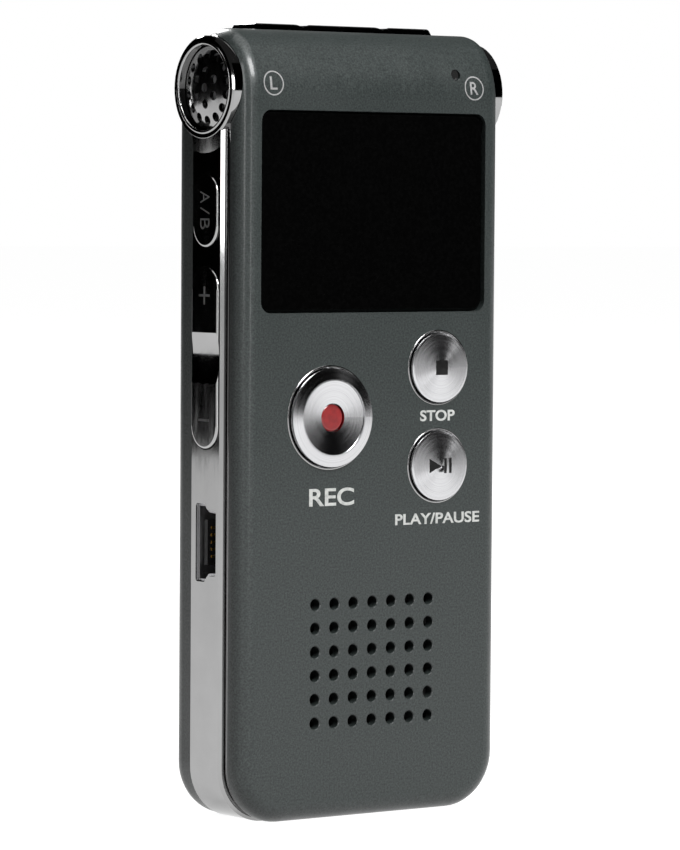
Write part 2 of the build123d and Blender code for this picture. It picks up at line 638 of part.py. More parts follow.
def side_switch(z):
    """Edge-mounted tact switch on the rear of the board, facing outwards."""
    back = SIDE_SWITCH_FACE_X - SIDE_SWITCH_DEPTH
    body = block((back, SIDE_SWITCH_FACE_X), (BOARD_REAR_Y, BAND_MID_Y + 1.2),
                 (z - SIDE_SWITCH_LENGTH / 2, z + SIDE_SWITCH_LENGTH / 2))
    face = SIDE_SWITCH_FACE_X + SIDE_SWITCH_PLUNGER
    plunger_y = (BAND_MID_Y - SIDE_PLUNGER_HALF, BAND_MID_Y + SIDE_PLUNGER_HALF)
    plunger = block((SIDE_SWITCH_FACE_X, face), plunger_y, (z - 0.9, z + 0.9))
    return body + plunger


def power_slider():
    """Ribbed thumb knob on a plate that covers its slot from inside."""
    plate_x = FRAME_INNER_X - 0.08
    top = BAND_X + SLIDER_PROUD
    half_long, half_wide = SLIDER_KNOB[0] / 2, SLIDER_KNOB[1] / 2
    knob = block((plate_x, top), (BAND_MID_Y - half_wide, BAND_MID_Y + half_wide),
                 (SLIDER_KNOB_Z - half_long, SLIDER_KNOB_Z + half_long))
    knob = fillet(knob.edges().filter_by(Axis.X), 0.5)
    for i in range(SLIDER_RIBS):
        groove_z = SLIDER_KNOB_Z + (i - (SLIDER_RIBS - 1) / 2) * SLIDER_RIB_PITCH
        knob -= block((top - 0.25, top + 1), (BAND_MID_Y - 2, BAND_MID_Y + 2),
                      (groove_z - 0.15, groove_z + 0.15))
    plate = block((plate_x - 0.4, plate_x),
                  (BAND_MID_Y - SLIDER_PLATE[1] / 2, BAND_MID_Y + SLIDER_PLATE[1] / 2),
                  (SLIDER_KNOB_Z - SLIDER_PLATE[0] / 2, SLIDER_KNOB_Z + SLIDER_PLATE[0] / 2))
    finger = block((SIDE_STEM_X - 0.25, plate_x), (BAND_MID_Y - 0.6, BAND_MID_Y + 0.6),
                   (SLIDER_KNOB_Z - 0.6, SLIDER_KNOB_Z + 0.6))
    return knob + plate + finger


def power_switch():
    """Slide switch body with a channel its knob's finger runs along."""
    return block((SIDE_SWITCH_FACE_X - SIDE_SWITCH_DEPTH, SIDE_SWITCH_FACE_X + 0.2),
                 (BOARD_REAR_Y, BAND_MID_Y + 1.4), (SLIDER_SLOT_Z - 1.9, SLIDER_SLOT_Z + 4.5))


# ---- microphones, made on the right -------------------------------------
def mic_ring():
    ring = side_disc(POD_RING_RADIUS, POD_RING_SEAT_X, POD_RING_X, 0, POD_Z)
    ring -= side_disc(POD_BORE_RADIUS, 0, CASE_WIDTH, 0, POD_Z)
    return fillet(ring.edges().group_by(Axis.X)[-1], 0.2)


def dome_arc(radius, x_edge, x_top):
    """Arc from a cap's edge to its top, in (x, radius) terms."""
    rise = x_top - x_edge
    ball = (radius ** 2 + rise ** 2) / (2 * rise)
    halfway = x_top - ball + math.sqrt(ball ** 2 - (radius / 2) ** 2)
    return ThreePointArc((x_edge, radius), (halfway, radius / 2), (x_top, 0))


def mic_grille():
    inner = GRILLE_RADIUS - GRILLE_WALL
    inner_edge_x = GRILLE_EDGE_X - GRILLE_WALL
    inner_top_x = GRILLE_TOP_X - GRILLE_WALL
    profile = dome_arc(GRILLE_RADIUS, GRILLE_EDGE_X, GRILLE_TOP_X)
    profile += Line((GRILLE_TOP_X, 0), (inner_top_x, 0))
    profile += dome_arc(inner, inner_edge_x, inner_top_x)
    profile += Polyline((inner_edge_x, inner), (GRILLE_BASE_X, inner),
                        (GRILLE_BASE_X, GRILLE_RADIUS), (GRILLE_EDGE_X, GRILLE_RADIUS))
    cap = Pos(0, 0, POD_Z) * revolve(make_face(profile), Axis.X)
    for ring_radius, count in GRILLE_ROWS:
        for i in range(count):
            angle = 2 * math.pi * (i + 0.5) / count
            y = ring_radius * math.cos(angle)
            z = POD_Z + ring_radius * math.sin(angle)
            cap -= side_disc(GRILLE_HOLE_RADIUS, GRILLE_BASE_X - 1, POD_RING_X + 1, y, z)
    return cap


def mic_boot():
    boot = side_disc(POD_BORE_RADIUS - 0.02, MIC_BACK_X, MIC_FRONT_X, 0, POD_Z)
    return boot - side_disc(MIC_RADIUS, 0, CASE_WIDTH, 0, POD_Z)


def mic_capsule():
    capsule = side_disc(MIC_RADIUS, MIC_BACK_X, MIC_FRONT_X - 0.2, 0, POD_Z)
    capsule = fillet(capsule.edges().sort_by(Axis.X)[-1], 0.3)
    return capsule - side_disc(0.9, MIC_FRONT_X - 0.5, MIC_FRONT_X, 0, POD_Z)


# ---- sockets ------------------------------------------------------------
def usb_shell():
    face_x = -BAND_X + USB_RIM_SETBACK
    tube = extrude(Plane.YZ.offset(face_x) * usb_outline(-0.02), USB_DEPTH)
    return tube - extrude(Plane.YZ.offset(face_x - 1) * usb_outline(-USB_WALL), USB_DEPTH)


def usb_tongue():
    face_x = -BAND_X + USB_RIM_SETBACK + USB_TONGUE_SETBACK
    root_x = -BAND_X + USB_RIM_SETBACK + USB_DEPTH - 1
    half = USB_TONGUE_WIDTH / 2
    tongue = block((face_x, root_x), USB_TONGUE_Y, (USB_Z - half, USB_Z + half))
    for i in range(USB_CONTACTS):
        z = USB_Z + (i - (USB_CONTACTS - 1) / 2) * USB_CONTACT_PITCH
        tongue += block((face_x + 0.3, root_x), (USB_TONGUE_Y[0] - 0.12, USB_TONGUE_Y[0]),
                        (z - 0.2, z + 0.2))
    return tongue


def jack(x):
    body = block((x - JACK_BODY[0] / 2, x + JACK_BODY[0] / 2),
                 (JACK_Y - JACK_BODY[1] / 2, JACK_Y + JACK_BODY[1] / 2),
                 (JACK_LOW_Z, JACK_BODY_TOP_Z))
    nose_length = JACK_NOSE_TOP_Z - JACK_BODY_TOP_Z
    nose_z = JACK_BODY_TOP_Z + nose_length / 2
    body += Pos(x, JACK_Y, nose_z) * Cylinder(JACK_NOSE_RADIUS, nose_length)
    bore_z = JACK_NOSE_TOP_Z - JACK_BORE_LENGTH / 2
    body -= Pos(x, JACK_Y, bore_z) * Cylinder(JACK_BORE_RADIUS, JACK_BORE_LENGTH)
    return body


# ---- speaker ------------------------------------------------------------
def speaker_gasket():
    rear = FRONT_INNER_Y + SPEAKER_GASKET_THICK
    ring = disc(SPEAKER_RADIUS, FRONT_INNER_Y, rear, 0, SPEAKER_Z)
    return ring - disc(SPEAKER_RADIUS - SPEAKER_RIM / 2, FRONT_INNER_Y, rear, 0, SPEAKER_Z)


def speaker_frame():
    front = FRONT_INNER_Y + SPEAKER_GASKET_THICK
    rear = front + SPEAKER_FRAME_THICK
    bowl = disc(SPEAKER_RADIUS, front, rear, 0, SPEAKER_Z)
    bowl -= disc(SPEAKER_RADIUS - SPEAKER_RIM, front, rear - 0.5, 0, SPEAKER_Z)
    return fillet(bowl.edges().sort_by(Axis.Y)[-1], 0.6)


def speaker_cone():
    front = FRONT_INNER_Y + SPEAKER_GASKET_THICK + 0.5
    radius = SPEAKER_RADIUS - SPEAKER_RIM
    depth = -front
    dish = Polyline((0, depth - 0.9), (3, depth - 0.9), (3.6, depth - 0.5), (7.2, depth),
                    (radius, depth - 0.3), (radius, depth - 0.5), (7.2, depth - 0.25),
                    (3.6, depth - 0.75), (3, depth - 1.15), (0, depth - 1.15), close=True)
    points = [(vertex.X, 0, vertex.Y) for vertex in dish.vertices()]
    cone = revolve(make_face(Polyline(*points, close=True)), Axis.Z)
    return Pos(0, 0, SPEAKER_Z) * Rot(90, 0, 0) * cone


def speaker_magnet():
    front = FRONT_INNER_Y + SPEAKER_GASKET_THICK + SPEAKER_FRAME_THICK
    magnet = disc(SPEAKER_MAGNET_RADIUS, front, front + SPEAKER_MAGNET_THICK, 0, SPEAKER_Z)
    return fillet(magnet.edges().sort_by(Axis.Y)[-1], 0.3)


# ---- battery and indicator ----------------------------------------------
def battery_cell():
    width, thick, height = BATTERY_SIZE
    cell = slab(width, height, 1.2, BATTERY_FRONT_Y, BATTERY_FRONT_Y + thick, 0, BATTERY_MID_Z)
    return fillet(cell.edges().filter_by(Axis.Z), 0.6)


def battery_pad():
    width, thick, height = BATTERY_SIZE
    return slab(width - 4, height - 6, 1.0, BATTERY_FRONT_Y + thick, REAR_INNER_Y,
                0, BATTERY_MID_Z)


def indicator_led():
    return slab(1.6, 1.2, 0.15, BOARD_FRONT_Y - 0.7, BOARD_FRONT_Y, LED_X, LED_Z)


def indicator_light_pipe():
    return disc(LED_PIPE_RADIUS, FRONT_Y + LED_PIPE_SETBACK, BOARD_FRONT_Y - 0.75, LED_X, LED_Z)


# ---- all parts ----------------------------------------------------------
def all_parts():
    parts = {
        "front_cover": front_cover(),
        "rear_cover": rear_cover(),
        "mid_frame": mid_frame(),
        "display_window": display_window(),
        "window_gasket": window_gasket(),
        "lcd_glass": lcd_glass(),
        "lcd_backlight": lcd_backlight(),
        "lcd_flex": lcd_flex(),
        "main_board": main_board(),
        "controller_chip": chip(7, 7, 0.9, 4.5, 66),
        "flash_chip": chip(6, 9, 0.8, -5, 64),
        "crystal_can": chip(2.2, 4.2, 0.8, 10.6, 61),
        "rec_button": rec_button(),
        "rec_button_dot": rec_button_dot(),
        "stop_button": small_button("stop"),
        "play_pause_button": small_button("play_pause"),
        "volume_rocker": on_side(rocker(), -1),
        "volume_rocker_pin": on_side(rocker_pin(), -1),
        "volume_up_switch": on_side(side_switch(ROCKER_Z + ROCKER_FOOT_OFFSET), -1),
        "volume_down_switch": on_side(side_switch(ROCKER_Z - ROCKER_FOOT_OFFSET), -1),
        "track_rocker": rocker(),
        "track_rocker_pin": rocker_pin(),
        "track_next_switch": side_switch(ROCKER_Z + ROCKER_FOOT_OFFSET),
        "track_back_switch": side_switch(ROCKER_Z - ROCKER_FOOT_OFFSET),
        "ab_button": on_side(pill_button(), -1),
        "ab_switch": on_side(side_switch(PILL_Z), -1),
        "menu_button": pill_button(),
        "menu_switch": side_switch(PILL_Z),
        "power_slider": power_slider(),
        "power_switch": power_switch(),
        "usb_shell": usb_shell(),
        "usb_tongue": usb_tongue(),
        "phones_jack": jack(-JACK_X),
        "line_in_jack": jack(JACK_X),
        "speaker_gasket": speaker_gasket(),
        "speaker_frame": speaker_frame(),
        "speaker_cone": speaker_cone(),
        "speaker_magnet": speaker_magnet(),
        "battery_cell": battery_cell(),
        "battery_pad": battery_pad(),
        "indicator_led": indicator_led(),
        "indicator_light_pipe": indicator_light_pipe(),
    }
    for name in FRONT_KEYS:
        parts[name + "_bezel"] = key_bezel(name)
        parts[name + "_switch"] = tact_switch(name)
    for word, side in (("left", -1), ("right", 1)):
        parts["mic_ring_" + word] = on_side(mic_ring(), side)
        parts["mic_grille_" + word] = on_side(mic_grille(), side)
        parts["mic_boot_" + word] = on_side(mic_boot(), side)
        parts["mic_capsule_" + word] = on_side(mic_capsule(), side)
    for number, (x, z) in enumerate(SCREW_SPOTS, start=1):
        parts["board_screw_" + str(number)] = board_screw(x, z)
    return parts


os.makedirs("parts", exist_ok=True)
for node, shape in all_parts().items():
    export_step(shape, "parts/" + node + ".step")
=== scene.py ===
import json
import math

import bmesh
import bpy
from mathutils import Matrix, Vector


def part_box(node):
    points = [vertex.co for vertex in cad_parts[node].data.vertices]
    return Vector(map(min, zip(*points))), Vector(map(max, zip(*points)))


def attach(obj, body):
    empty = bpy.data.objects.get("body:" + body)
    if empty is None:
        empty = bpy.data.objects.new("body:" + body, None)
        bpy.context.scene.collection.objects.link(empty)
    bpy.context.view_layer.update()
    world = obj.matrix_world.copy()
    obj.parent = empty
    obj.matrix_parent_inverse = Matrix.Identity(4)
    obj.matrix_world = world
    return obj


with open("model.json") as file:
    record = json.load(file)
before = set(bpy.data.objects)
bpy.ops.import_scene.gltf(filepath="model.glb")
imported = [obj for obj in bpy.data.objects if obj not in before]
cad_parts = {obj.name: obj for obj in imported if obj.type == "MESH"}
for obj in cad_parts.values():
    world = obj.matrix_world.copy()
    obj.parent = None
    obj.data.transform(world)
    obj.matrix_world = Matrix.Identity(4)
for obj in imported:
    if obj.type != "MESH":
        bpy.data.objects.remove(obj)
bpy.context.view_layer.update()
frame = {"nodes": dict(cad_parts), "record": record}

# Looks for a slim pocket voice recorder standing on its lower end.
# Metres throughout; +X right, +Y towards the back, +Z up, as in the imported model.

MM = 0.001
NODES = frame["nodes"]
CASE_LOW, CASE_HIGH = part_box("front_cover")
FRONT_Y = CASE_LOW.y
CASE_LOW_Z = CASE_LOW.z
CASE_MIDDLE_Z = (CASE_LOW.z + CASE_HIGH.z) / 2

# ---- camera and studio ---------------------------------------------------
CAMERA_AZIMUTH = 36.82          # degrees to the left of straight on
CAMERA_ELEVATION = 2.74
CAMERA_ROLL = 0.39
CAMERA_DISTANCE = 0.506
CAMERA_LENS = 192.4             # mm, on the sensor's width below
SENSOR_WIDTH = 36
CLIP_NEAR = 0.01
CLIP_FAR = 20
AIM_LEFT = 4.72 * MM            # the aim point, left of the middle of the front
AIM_ABOVE_MIDDLE = 0.1 * MM
BACKGROUND_LEVEL = 1.0          # what the camera sees behind the object
AMBIENT_LEVEL = 0.035           # what lights it from all round
FLOOR_HALF_SIZE = 6
FLOOR_GREY = 0.30
FLOOR_GLOW = 0.98


def link(obj):
    bpy.context.scene.collection.objects.link(obj)
    return obj


def direction(azimuth, elevation):
    """Unit vector from the object towards a point; azimuth 0 is straight in front, + to the right."""
    a = math.radians(azimuth)
    e = math.radians(elevation)
    return Vector((math.sin(a) * math.cos(e), -math.cos(a) * math.cos(e), math.sin(e)))


def make_camera():
    aim = Vector((-AIM_LEFT, FRONT_Y, CASE_MIDDLE_Z + AIM_ABOVE_MIDDLE))
    back = direction(-CAMERA_AZIMUTH, CAMERA_ELEVATION)
    level_right = Vector((0, 0, 1)).cross(back).normalized()
    level_up = back.cross(level_right)
    roll = math.radians(CAMERA_ROLL)
    right = level_right * math.cos(roll) + level_up * math.sin(roll)
    up = back.cross(right)
    data = bpy.data.cameras.new("camera")
    data.lens = CAMERA_LENS
    data.sensor_width = SENSOR_WIDTH
    data.clip_start = CLIP_NEAR
    data.clip_end = CLIP_FAR
    camera = link(bpy.data.objects.new("camera", data))
    turn = Matrix((right, up, back)).transposed().to_4x4()
    camera.matrix_world = Matrix.Translation(aim + back * CAMERA_DISTANCE) @ turn
    bpy.context.scene.camera = camera


def plain_quad(name, centre, across, upward):
    """Flat four-cornered card about a centre, with half-size vectors."""
    mesh = bpy.data.meshes.new(name)
    corners = [centre - across - upward, centre + across - upward,
               centre + across + upward, centre - across + upward]
    mesh.from_pydata([tuple(c) for c in corners], [], [(0, 1, 2, 3)])
    card = link(bpy.data.objects.new(name, mesh))
    return card


def studio_material(name, grey, glow):
    material = bpy.data.materials.new(name)
    material.use_nodes = True
    shader = material.node_tree.nodes["Principled BSDF"]
    shader.inputs["Base Color"].default_value = (grey, grey, grey, 1)
    shader.inputs["Roughness"].default_value = 0.9
    shader.inputs["Specular IOR Level"].default_value = 0.0
    shader.inputs["Emission Color"].default_value = (1, 1, 1, 1)
    shader.inputs["Emission Strength"].default_value = glow
    return material


def make_floor():
    """Pale glowing paper, which throws no diffuse light up onto the object."""
    floor = plain_quad("floor", Vector((0, 0, 0)), Vector((FLOOR_HALF_SIZE, 0, 0)),
                       Vector((0, FLOOR_HALF_SIZE, 0)))
    floor.data.materials.append(studio_material("floor_paper", FLOOR_GREY, FLOOR_GLOW))
    floor.visible_diffuse = False


def make_flag(name, azimuth, distance, half_width, height):
    """Black card beside the set: only reflections see it."""
    centre = direction(azimuth, 0) * distance
    side = Vector((0, 0, 1)).cross(centre).normalized() * half_width
    rise = Vector((0, 0, height / 2))
    flag = plain_quad(name, centre + rise, side, rise)
    flag.data.materials.append(studio_material(name + "_black", 0.0, 0.0))
    flag.visible_camera = False
    flag.visible_diffuse = False
    flag.visible_shadow = False


def make_light(name, azimuth, elevation, distance, width, height, power, glossy_only=False):
    """Rectangular lamp that faces the object's middle; glossy_only ones add no diffuse light."""
    data = bpy.data.lights.new(name, "AREA")
    data.shape = "RECTANGLE"
    data.size = width
    data.size_y = height
    data.energy = power
    lamp = link(bpy.data.objects.new(name, data))
    target = Vector((0, 0, CASE_MIDDLE_Z))
    away = direction(azimuth, elevation)
    lamp.location = target + away * distance
    lamp.rotation_mode = "QUATERNION"
    lamp.rotation_quaternion = (-away).to_track_quat("-Z", "Y")
    lamp.visible_camera = False
    lamp.visible_diffuse = not glossy_only


def make_world():
    world = bpy.data.worlds.new("studio")
    bpy.context.scene.world = world
    world.use_nodes = True
    tree = world.node_tree
    tree.nodes.clear()
    path = tree.nodes.new("ShaderNodeLightPath")
    seen = tree.nodes.new("ShaderNodeBackground")
    seen.inputs["Color"].default_value = (1, 1, 1, 1)
    seen.inputs["Strength"].default_value = BACKGROUND_LEVEL
    ambient = tree.nodes.new("ShaderNodeBackground")
    ambient.inputs["Color"].default_value = (1, 1, 1, 1)
    ambient.inputs["Strength"].default_value = AMBIENT_LEVEL
    mix = tree.nodes.new("ShaderNodeMixShader")
    out = tree.nodes.new("ShaderNodeOutputWorld")
    tree.links.new(path.outputs["Is Camera Ray"], mix.inputs[0])
    tree.links.new(ambient.outputs[0], mix.inputs[1])
    tree.links.new(seen.outputs[0], mix.inputs[2])
    tree.links.new(mix.outputs[0], out.inputs["Surface"])


def make_studio():
    make_camera()
    make_world()
    make_floor()
    make_flag("flag_left_rear", -143.2, 0.76, 0.55, 1.2)
    make_flag("flag_right_front", 36.8, 0.95, 0.5, 1.0)
    make_light("overhead", 20, 80, 1.0, 0.9, 0.9, 5.0)
    make_light("key", 4, 40, 0.85, 0.34, 0.34, 10.0)
    make_light("rear_fill", 165, 35, 0.9, 0.3, 0.3, 5.0)
    make_light("strip_left", -53.2, 20, 0.62, 0.08, 0.42, 1.0, glossy_only=True)
    make_light("strip_front", -14, 12, 0.8, 0.05, 0.5, 0.7, glossy_only=True)
    scene = bpy.context.scene
    scene.view_settings.view_transform = "Standard"
    scene.view_settings.look = "None"


# ---- material helpers ----------------------------------------------------
class Finish:
    """One node material, with short calls for the procedural detail it is made from."""

    def __init__(self, name, colour, roughness, metallic=0.0, **sockets):
        self.material = bpy.data.materials.new(name)
        self.material.use_nodes = True
        self.tree = self.material.node_tree
        self.shader = self.tree.nodes["Principled BSDF"]
        self.set("Base Color", (*colour, 1))
        self.set("Roughness", roughness)
        self.set("Metallic", metallic)
        for socket, value in sockets.items():
            self.set(socket.replace("_", " "), value)
        self.place = self.tree.nodes.new("ShaderNodeTexCoord").outputs["Object"]

    def set(self, socket, value):
        self.shader.inputs[socket].default_value = value

    def node(self, kind, inputs=(), **settings):
        made = self.tree.nodes.new(kind)
        for key, value in settings.items():
            setattr(made, key, value)
        for key, value in dict(inputs).items():
            if isinstance(value, bpy.types.NodeSocket):
                self.tree.links.new(value, made.inputs[key])
            else:
                made.inputs[key].default_value = value
        return made

    def noise(self, size, detail=3.0, rough=0.55, stretch=(1, 1, 1), shift=0.0):
        """Noise whose grains are about size metres."""
        moved = self.node("ShaderNodeMapping", {
            "Vector": self.place, "Scale": stretch, "Location": (shift, shift, shift)})
        made = self.node("ShaderNodeTexNoise", {
            "Vector": moved.outputs[0], "Scale": 1 / size, "Detail": detail, "Roughness": rough})
        return made.outputs["Fac"]

    def ramp(self, fac, low, high, start=0.3, end=0.7):
        """Colours or greys between two ends."""
        made = self.node("ShaderNodeValToRGB", {"Fac": fac})
        stops = made.color_ramp.elements
        stops[0].position, stops[1].position = start, end
        stops[0].color = (*low, 1) if isinstance(low, tuple) else (low, low, low, 1)
        stops[1].color = (*high, 1) if isinstance(high, tuple) else (high, high, high, 1)
        return made.outputs["Color"]

    def colour(self, fac, low, high, start=0.3, end=0.7):
        self.tree.links.new(self.ramp(fac, low, high, start, end), self.shader.inputs["Base Color"])

    def rough(self, fac, low, high, start=0.3, end=0.7):
        self.tree.links.new(self.ramp(fac, low, high, start, end), self.shader.inputs["Roughness"])

    def bump(self, height, depth, strength=1.0, under=None):
        inputs = {"Height": height, "Distance": depth, "Strength": strength}
        if under is not None:
            inputs["Normal"] = under
        made = self.node("ShaderNodeBump", inputs)
        self.tree.links.new(made.outputs["Normal"], self.shader.inputs["Normal"])
        return made.outputs["Normal"]

    def rings(self, centre, pitch):
        """Concentric fine lines about an axis along Y through (x, z)."""
        moved = self.node("ShaderNodeMapping", {
            "Vector": self.place, "Location": (-centre[0], 0, -centre[1])})
        flat = self.node("ShaderNodeVectorMath", {0: moved.outputs[0], 1: (1, 0, 1)},
                         operation="MULTIPLY")
        away = self.node("ShaderNodeVectorMath", {0: flat.outputs[0]}, operation="LENGTH")
        made = self.node("ShaderNodeTexNoise", {
            "W": away.outputs["Value"], "Scale": 1 / pitch, "Detail": 2.0,
            "Roughness": 0.6}, noise_dimensions="1D")
        return made.outputs["Fac"]


def metallic_paint():
    """Fine dark grey metallic paint under a thin clear coat."""
    paint = Finish("metallic_paint", (0.05, 0.055, 0.055), 0.42, 0.1,
                   Coat_Weight=0.35, Coat_Roughness=0.16, Specular_IOR_Level=0.3)
    flakes = paint.noise(0.00022, 4.0, 0.7)
    paint.colour(flakes, (0.0100, 0.0145, 0.0140), (0.050, 0.060, 0.058), 0.34, 0.70)
    patches = paint.noise(0.006, 2.0)
    paint.rough(patches, 0.38, 0.47)
    fine = paint.bump(paint.noise(0.00022, 3.0), 0.000012, 0.6)
    paint.bump(paint.noise(0.0035, 2.0), 0.00002, 0.1, fine)
    return paint.material


def bright_plating(name, colour, roughness, worn):
    """Polished plating with slight waviness and faint handling marks."""
    plating = Finish(name, colour, roughness, 1.0)
    plating.colour(plating.noise(0.004, 3.0), tuple(c * 0.93 for c in colour), colour)
    marks = plating.noise(0.0012, 5.0, 0.7, (1, 1, 0.2))
    plating.rough(marks, roughness, worn, 0.45, 0.8)
    wave = plating.bump(plating.noise(0.006, 1.0), 0.00001, 0.25)
    plating.bump(marks, 0.000002, 0.3, wave)
    return plating.material


def turned_metal(name, node, roughness):
    """Face-turned metal: concentric grooves and a fan-shaped sheen about the key's axis."""
    low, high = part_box(node)
    centre = ((low.x + high.x) / 2, (low.z + high.z) / 2)
    metal = Finish(name, (0.72, 0.72, 0.73), roughness, 1.0, Anisotropic=0.93)
    tangent = metal.node("ShaderNodeTangent", direction_type="RADIAL", axis="Y")
    metal.tree.links.new(tangent.outputs[0], metal.shader.inputs["Tangent"])
    grooves = metal.rings(centre, 0.00009)
    metal.colour(grooves, (0.44, 0.44, 0.45), (0.54, 0.54, 0.55), 0.3, 0.7)
    metal.rough(metal.rings(centre, 0.0004), roughness * 0.85, roughness * 1.1)
    metal.bump(grooves, 0.000002, 0.35)
    return metal.material


def black_glass():
    """Polished black window with the faintest dust and wipe marks."""
    glass = Finish("black_window", (0.0015, 0.0015, 0.0015), 0.04, 0.0, Specular_IOR_Level=0.35)
    smears = glass.noise(0.007, 4.0, 0.6, (1, 1, 0.4))
    glass.rough(smears, 0.03, 0.06, 0.4, 0.85)
    glass.colour(glass.noise(0.0004, 2.0), (0.0012, 0.0012, 0.0012),
                 (0.0024, 0.0024, 0.0024), 0.4, 0.8)
    glass.bump(glass.noise(0.012, 1.0), 0.00001, 0.04)
    return glass.material


def moulded(name, low, high, roughness, grain=0.0003, depth=0.00001, **sockets):
    """Moulded plastic, rubber or board with a fine surface grain."""
    plastic = Finish(name, high, roughness, **sockets)
    plastic.colour(plastic.noise(0.003, 3.0), low, high)
    speckle = plastic.noise(grain, 3.0)
    plastic.rough(speckle, roughness * 0.85, min(1.0, roughness * 1.15))
    plastic.bump(speckle, depth, 0.5)
    return plastic.material


def plain_steel(name, colour=(0.56, 0.56, 0.57), roughness=0.28):
    """Drawn or stamped steel with faint lengthwise lines."""
    steel = Finish(name, colour, roughness, 1.0)
    lines = steel.noise(0.0005, 4.0, 0.6, (1, 1, 0.08))
    steel.colour(lines, tuple(c * 0.8 for c in colour), colour)
    steel.rough(lines, roughness * 0.8, roughness * 1.3)
    steel.bump(lines, 0.000004, 0.4)
    return steel.material


def board_mask():
    """Green solder mask with darker copper tracks under it."""
    board = Finish("solder_mask", (0.02, 0.12, 0.045), 0.35, Coat_Weight=0.4)
    tracks = board.node("ShaderNodeTexBrick", {
        "Vector": board.place, "Color1": (0.03, 0.16, 0.06, 1), "Color2": (0.02, 0.12, 0.045, 1),
        "Mortar": (0.012, 0.075, 0.03, 1), "Scale": 420.0, "Mortar Size": 0.03})
    board.tree.links.new(tracks.outputs["Color"], board.shader.inputs["Base Color"])
    board.bump(tracks.outputs["Fac"], 0.00002, 0.5)
    return board.material


def speaker_paper():
    """Pressed fibre cone."""
    paper = Finish("speaker_paper", (0.02, 0.02, 0.02), 0.85, Sheen_Weight=0.3)
    fibres = paper.noise(0.0003, 6.0, 0.8, (1, 1, 3))
    paper.colour(fibres, (0.010, 0.010, 0.010), (0.04, 0.038, 0.036))
    paper.bump(fibres, 0.00003, 0.8)
    return paper.material


def clear_plastic(name, colour, transmission, roughness):
    """Moulded clear plastic or display glass with slight surface haze."""
    clear = Finish(name, colour, roughness, Transmission_Weight=transmission, IOR=1.49)
    haze = clear.noise(0.002, 3.0)
    clear.rough(haze, roughness * 0.7, roughness * 1.5)
    clear.bump(clear.noise(0.004, 1.0), 0.00001, 0.2)
    return clear.material


def red_enamel():
    """Deep red glossy enamel with slight mottling."""
    enamel = Finish("red_enamel", (0.26, 0.006, 0.007), 0.22, Coat_Weight=0.5,
                    Coat_Roughness=0.08)
    enamel.colour(enamel.noise(0.0008, 3.0), (0.20, 0.005, 0.006), (0.30, 0.008, 0.009))
    enamel.bump(enamel.noise(0.0006, 2.0), 0.00001, 0.3)
    return enamel.material


def printed_ink(name, low, high, roughness=0.5):
    """Screen-printed ink, a little uneven."""
    ink = Finish(name, high, roughness, Specular_IOR_Level=0.15)
    ink.colour(ink.noise(0.0005, 3.0), low, high, 0.25, 0.6)
    ink.bump(ink.noise(0.0002, 2.0), 0.000005, 0.4)
    return ink.material


SLOT_MATERIALS = {
    "cover_paint": metallic_paint(),
    "band_chrome": bright_plating("band_plating", (0.30, 0.30, 0.30), 0.045, 0.10),
    "side_key_chrome": bright_plating("side_key_plating", (0.33, 0.33, 0.33), 0.06, 0.13),
    "grille_metal": bright_plating("grille_plating", (0.30, 0.30, 0.30), 0.12, 0.22),
    "window_black": black_glass(),
    "red_enamel": red_enamel(),
    "black_rubber": moulded("black_rubber", (0.010, 0.010, 0.010), (0.022, 0.022, 0.022), 0.8),
    "lcd_glass": clear_plastic("lcd_glass", (0.06, 0.075, 0.07), 0.5, 0.06),
    "white_plastic": moulded("white_plastic", (0.66, 0.66, 0.64), (0.76, 0.76, 0.74), 0.45),
    "flex_film": moulded("amber_film", (0.30, 0.11, 0.02), (0.42, 0.17, 0.04), 0.3),
    "board_green": board_mask(),
    "chip_black": moulded("chip_package", (0.012, 0.012, 0.013), (0.024, 0.024, 0.026), 0.6),
    "part_steel": plain_steel("small_steel"),
    "switch_black": moulded("switch_body", (0.012, 0.012, 0.012), (0.025, 0.025, 0.025), 0.5),
    "socket_steel": plain_steel("socket_steel", (0.45, 0.45, 0.46), 0.3),
    "socket_black": moulded("socket_plastic", (0.008, 0.008, 0.008), (0.018, 0.018, 0.018), 0.45),
    "speaker_paper": speaker_paper(),
    "battery_foil": plain_steel("battery_foil", (0.62, 0.63, 0.64), 0.35),
    # The light pipe's near-black colour is painted shade: it stands in for the shade inside the LED
    # hole.
    "pipe_clear": clear_plastic("pipe_plastic_painted_shade", (0.03, 0.03, 0.03), 0.35, 0.12),
}
WHITE_INK = printed_ink("white_ink", (0.44, 0.45, 0.44), (0.62, 0.63, 0.61))
BLACK_INK = printed_ink("black_ink", (0.004, 0.004, 0.004), (0.012, 0.012, 0.012), 0.35)
GREY_INK = printed_ink("grey_ink", (0.24, 0.24, 0.24), (0.36, 0.36, 0.36))
GOLD = plain_steel("contact_gold", (0.85, 0.60, 0.22), 0.25)


def paint_nodes():
    slots = {s["node"]: s["material_slot"] for s in frame["record"]["subparts"]}
    for name, obj in NODES.items():
        key = slots[name]
        if key == "key_metal":
            roughness = 0.13 if name == "rec_button" else 0.22
            material = turned_metal(name + "_metal", name, roughness)
        else:
            material = SLOT_MATERIALS[key]
        obj.data.materials.clear()
        obj.data.materials.append(material)


# ---- printed marks -------------------------------------------------------
INK_THICK = 0.02 * MM
LETTER_EXTRUDE = 0.01           # half the thickness of letters before they are fitted
RIGHT_SIDE_UP = Matrix(((1, 0, 0), (0, 0, -1), (0, 1, 0))).to_4x4()


